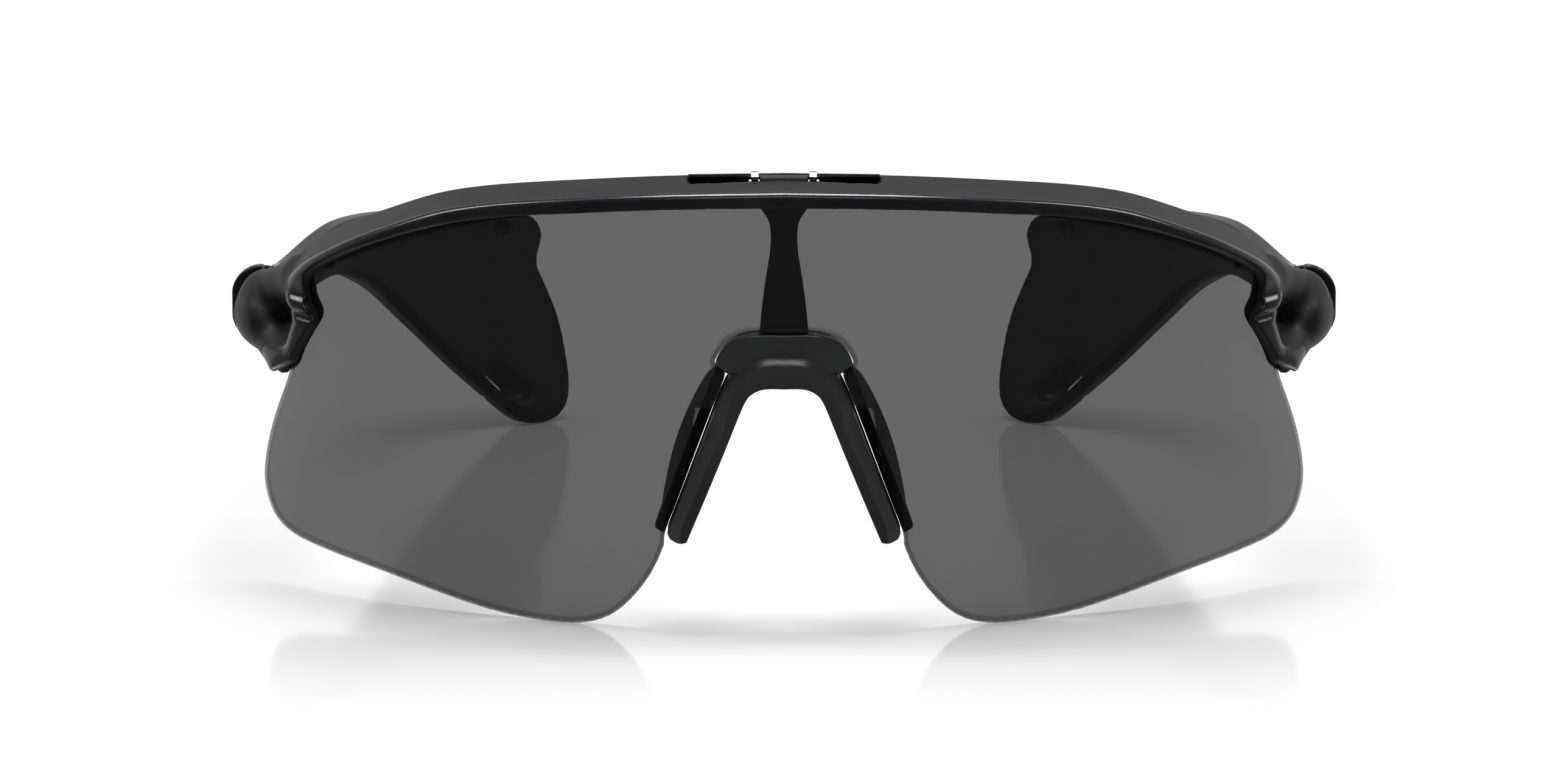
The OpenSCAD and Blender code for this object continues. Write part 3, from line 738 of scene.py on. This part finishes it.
# the web that joins the strut to its knuckle
WEB = ((-KNUCKLE_HALF_W, 4.6, 55.2), (KNUCKLE_HALF_W, PIVOT[0], 56.95))
ridge_outer = [[0, 36.4], [2, 36.3], [4.4, 35.7], [6.4, 34], [7.9, 31.4], [9.9, 26.2], [14.9, 13]]
ridge_foot = [[14.5, 12.3], [13.5, 12]]
ridge_inner = [[12.4, 12.2], [7.6, 23.8], [5.1, 30], [4.4, 31.1], [3, 31.9], [0, 32]]
ridge_edge = Outline(mirrored(np.vstack([curve(ridge_outer), ridge_foot, curve(ridge_inner)])), 0.15, 5)
crest_inner = [[0, 35.1], [2.2, 35.05], [3.7, 34.5], [4.85, 33.5], [5.8, 31.9], [7.2, 28.8], [7.5, 26.9],
               [7.95, 25.8], [12.2, 15.8], [13, 13.8]]
crest_edge = Outline(mirrored(np.vstack([curve(crest_inner), [[13.4, 4], [0, 4]]])), 0.15, 5)
plate_top = [[0, 38.4], [4, 38.3], [6.4, 37.5], [8, 35.8], [8.9, 33.8]]
plate_edge = Outline(mirrored(np.vstack([curve(plate_top), [[6.6, 33.4], [0, 35]]])), 0.15, 5)
cover_rim = [[0, 38.9], [3.45, 38.9], [5.1, 38.7], [6.75, 38.05], [7.8, 37], [8.6, 35.5], [8.65, 35.1]]
cover_edge = Outline(mirrored(np.vstack([curve(cover_rim), [[7.2, 33.9], [0, 35.4]]])), 0.15, 5)
COVER_PROUD, COVER_BACK = 0.4, 2.1  # how far the cover stands over the lens's face, and its back
RIDGE_FRONT, BRIDGE_BACK = -1.2, 7.4    # the bridge's front and back, in Y
CREST_RISE, CREST_FALL = 1.1, 0.12  # how steep the crest's chamfer is, and the flank inside it


def center_strut(x, y, z):
    d = face(x, y, z)
    s = meet(strut_edge(x, z), STRUT_FOOT - z, 0.1)
    body = meet(s, np.abs(d + LENS_T + STRUT_GAP + STRUT_T / 2) - STRUT_T / 2, 0.22)
    hub = meet(np.hypot(y - PIVOT[0], z - PIVOT[1]) - KNUCKLE_R, np.abs(x) - KNUCKLE_HALF_W, 0.15)
    web = block(x, y, z, *WEB)
    return meet(join(join(body, web, 0.3), hub, 0.3), z - KNUCKLE_TOP, 0.1)


def nose_bridge(x, y, z):
    ax = np.abs(x)
    # the front comes to a crest: a chamfer rises to it from outside, the flank falls away inside
    out = crest_edge(ax, z)
    chamfer = (RIDGE_FRONT + CREST_RISE * out - y) * 0.67
    flank = RIDGE_FRONT - CREST_FALL * out - y
    ridge = meet(ridge_edge(ax, z), meet(chamfer, flank, 0.2), 0.25)
    ridge = meet(ridge, y - BRIDGE_BACK, 0.8)
    plate = meet(plate_edge(ax, z), y - BRIDGE_BACK, 0.7)
    plate = meet(plate, face(x, y, z) + LENS_T + STRUT_GAP, 0.25)
    cover = meet(meet(cover_edge(ax, z), face(x, y, z) - COVER_PROUD, 0.25), y - COVER_BACK, 0.1)
    return join(join(ridge, plate, 0.3), cover, 0.12)


pad_strip = [[7.4, 33.2], [8.9, 33.5], [16.6, 13.1], [15.3, 12.3], [10.4, 26]]
strip_edge = Outline(np.array(pad_strip), 0.15, 5, 3)
PAD_FRONT = 4.4
# the pad's wing: where its own axes start, half its thickness, and how far it bulges outwards. Its
# axes run along the strip, back from it, and out through its thickness
WING_O = (8.3, 7.4, 32.2)
WING_HALF_T, WING_BULGE = 0.95, 0.5
WING_ALONG = np.array([6.4, 0, -18.0]) / math.hypot(6.4, 18.0)
WING_BACK = np.array([0.1, 0.995, 0.0])
wing_shape = [[0, -0.6], [6, -0.4], [13, -0.4], [18.6, -0.6], [19.9, 0.8], [19.3, 4], [16, 7.2],
              [11, 8.6], [5, 7.8], [1, 5.6], [-0.7, 2.4]]
wing_edge = Outline(curve(wing_shape, 8, True), 0.2, 5)
wing_out = np.cross(WING_BACK, WING_ALONG)
wing_out *= math.copysign(1, wing_out[0])


def nose_pad(x, y, z):
    strip = meet(meet(strip_edge(x, z), PAD_FRONT - y, 0.3), y - BRIDGE_BACK, 0.3)
    rel = (x - WING_O[0], y - WING_O[1], z - WING_O[2])
    a, b, n = [sum(r * c for r, c in zip(rel, axis)) for axis in (WING_ALONG, WING_BACK, wing_out)]
    bulge = WING_BULGE * np.sin(np.clip(a / 19, 0, 1) * math.pi) * np.clip(b / 8, 0, 1)
    wing = meet(wing_edge(a, b), np.abs(n - bulge) - WING_HALF_T, 0.9)
    body = join(strip, wing, 0.6)
    return cut(body, ridge_edge(x, z) - 0.05, 0.1)


make_piece("bridge_strut", center_strut, (-4, 1, 37), (4, 9, 59.5), 0.2, "bridge", "center_strut",
           STRUT_GREY_PAINTED_LIGHTER, extra=lambda p: p[:, 2])
make_piece("nose_saddle", nose_bridge, (-16, -2, 11), (16, 8.5, 39.5), 0.24, "bridge", "nose_bridge",
           BRIDGE_GREY)
for side, flip in (("left", False), ("right", True)):
    pad = make_piece(f"nose_cushion_{side}", nose_pad, (6, 3.5, 11), (20, 18, 35), 0.22, "bridge",
                     f"nose_pad_{side}", PAD_RUBBER, flip)


# ---- carried-over metal pieces ----------------------------------------------
def dress(name, material, bevel):
    """Give a CAD node its material, and break its sharp edges."""
    piece = NODES[name]
    piece.data.materials.clear()
    piece.data.materials.append(material)
    edge = piece.modifiers.new("edges", "BEVEL")
    edge.width = bevel * MM
    edge.segments = 3
    edge.limit_method = "ANGLE"
    edge.angle_limit = math.radians(35)
    edge.harden_normals = True


dress("pivot_bracket", BRACKET_STEEL, 0.12)
dress("pivot_pin", HINGE_STEEL, 0.12)
for side in ("left", "right"):
    for name in ("frame_hinge", "temple_hinge", "hinge_screw"):
        dress(f"{name}_{side}", HINGE_STEEL, 0.14)


# ---- studio -----------------------------------------------------------------
FLOOR_HALF = 6.0
MIRROR_FADE = (-0.142, -0.08)   # where on the floor its mirror image begins and is full, in Y
FAR_GLOW = (0.3, 0.7, 0.25, 1.6)    # the floor's glow, near and far, and the distances of both
NEAR_GLOW = 0.25                # what replaces the mirror image's light where there is none
PITCH = math.radians(10.8)      # how far the camera looks down
CAMERA_AWAY, AIM_Z = 0.9, 0.0316    # its distance from the lens, and the height that it aims at
SENSOR, FOCAL = 36, 4.527       # the sensor's width in mm, and the focal length in such widths


def floor():
    mesh = bpy.data.meshes.new("studio_floor")
    r = FLOOR_HALF
    mesh.from_pydata([(-r, -r, 0), (r, -r, 0), (r, r, 0), (-r, r, 0)], [], [(0, 1, 2, 3)])
    piece = bpy.data.objects.new("studio_floor", mesh)
    bpy.context.scene.collection.objects.link(piece)
    material, tree, shader = node_tree("studio_floor")
    shader.inputs["Base Color"].default_value = (0.44, 0.44, 0.44, 1)
    shader.inputs["Roughness"].default_value = 0.1
    shader.inputs["IOR"].default_value = 1.45
    # the mirror image fades towards the viewer, and the far floor is lifted to plain white
    coord = tree.nodes.new("ShaderNodeTexCoord").outputs["Object"]
    depth = split(tree, coord)["Y"]
    mirror = spread(tree, depth, 0, 0.5, *MIRROR_FADE)
    tree.links.new(mirror, shader.inputs["Specular IOR Level"])
    far = tree.nodes.new("ShaderNodeVectorMath")
    far.operation = "LENGTH"
    tree.links.new(coord, far.inputs[0])
    glow = add(tree, spread(tree, far.outputs["Value"], *FAR_GLOW),
               spread(tree, depth, NEAR_GLOW, 0, *MIRROR_FADE))
    shader.inputs["Emission Color"].default_value = (1, 1, 1, 1)
    tree.links.new(glow, shader.inputs["Emission Strength"])
    mesh.materials.append(material)
    piece.visible_glossy = False


def area(name, place, target, size, power):
    light = bpy.data.lights.new(name, "AREA")
    light.shape = "RECTANGLE"
    light.size, light.size_y = size
    light.energy = power
    lamp = bpy.data.objects.new(name, light)
    bpy.context.scene.collection.objects.link(lamp)
    lamp.location = place
    direction = Vector(target) - Vector(place)
    lamp.rotation_euler = direction.to_track_quat("-Z", "Y").to_euler()


def sky():
    """A pale surround behind and beside the object, dim overhead and dark in front."""
    world = bpy.data.worlds.new("studio")
    bpy.context.scene.world = world
    world.use_nodes = True
    tree = world.node_tree
    shade = tree.nodes["Background"]
    shade.inputs["Color"].default_value = (1, 1, 1, 1)
    coord = tree.nodes.new("ShaderNodeTexCoord").outputs["Generated"]
    direction = split(tree, coord)

    def fade(axis, start, end, low, high):
        part = tree.nodes.new("ShaderNodeMapRange")
        part.interpolation_type = "SMOOTHSTEP"
        for name, value in zip(("From Min", "From Max", "To Min", "To Max"), (start, end, low, high)):
            part.inputs[name].default_value = value
        tree.links.new(direction[axis], part.inputs["Value"])
        return part.outputs["Result"]

    total = tree.nodes.new("ShaderNodeMath")
    total.operation = "MULTIPLY"
    tree.links.new(fade("Y", -0.3, 0.7, 0.03, 0.9), total.inputs[0])
    tree.links.new(fade("Z", 0.15, 0.5, 1.0, 0.25), total.inputs[1])
    tree.links.new(total.outputs[0], shade.inputs["Strength"])


def camera():
    data = bpy.data.cameras.new("camera")
    data.sensor_width = SENSOR
    data.lens = FOCAL * SENSOR
    cam = bpy.data.objects.new("camera", data)
    bpy.context.scene.collection.objects.link(cam)
    back, up = CAMERA_AWAY * math.cos(PITCH), CAMERA_AWAY * math.sin(PITCH)
    cam.location = (0, -back - MID_Y * MM, AIM_Z + up)
    cam.rotation_euler = (math.pi / 2 - PITCH, 0, 0)
    bpy.context.scene.camera = cam


floor()
sky()
# each lamp's place, the point it faces, its size in metres, and its power in watts
area("overhead", (0, 0.05, 0.95), (0, 0, 0.03), (0.5, 0.42), 10.5)
area("front_top", (0, -0.75, 0.75), (0, -0.05, 0.03), (0.6, 0.16), 1.2)
for side in (-1, 1):
    area("side_top", (side * 0.62, 0.12, 0.76), (0, 0, 0.03), (0.15, 0.45), 2.5)
camera()
bpy.context.scene.view_settings.view_transform = "Standard"
